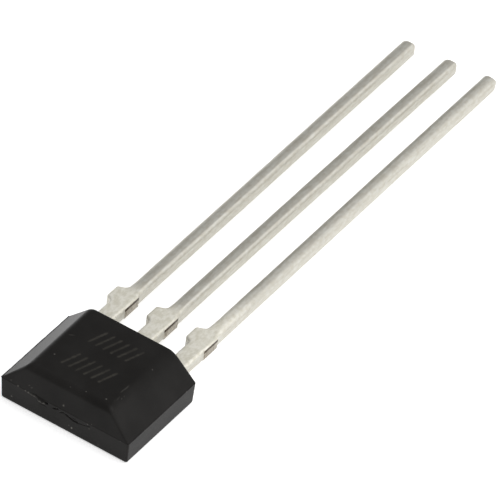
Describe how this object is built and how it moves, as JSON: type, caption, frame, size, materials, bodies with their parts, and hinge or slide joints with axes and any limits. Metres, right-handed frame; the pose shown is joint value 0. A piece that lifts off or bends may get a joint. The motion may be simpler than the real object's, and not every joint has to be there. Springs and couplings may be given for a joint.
{
  "type": "hall effect sensor",
  "caption": "Flat single-in-line Hall effect sensor: a chamfered black epoxy body moulded round the chip, with long straight tin-plated leads side by side",
  "frame": {"origin": "middle of the flat back face of the moulded body", "axes": "+X across the leads, from lead_1 to lead_3; +Y from the body to the lead tips; +Z out of the marked face"},
  "size_m": [0.004, 0.0183, 0.0015],
  "materials": {
    "moulded_epoxy": "fine spark-eroded mould texture, semi-matt black",
    "plated_leadframe": "matt tin plating over copper alloy",
    "silver_adhesive": "matt silver-filled epoxy",
    "silicon": "polished passivated silicon",
    "gold_wire": "bright drawn gold wire"
  },
  "bodies": {
    "root": {"body": "moulded_epoxy", "lead_1": "plated_leadframe", "lead_2": "plated_leadframe", "lead_3": "plated_leadframe", "die_attach": "silver_adhesive", "die": "silicon", "bond_wire_1": "gold_wire", "bond_wire_2": "gold_wire", "bond_wire_3": "gold_wire"}
  },
  "joints": []
}
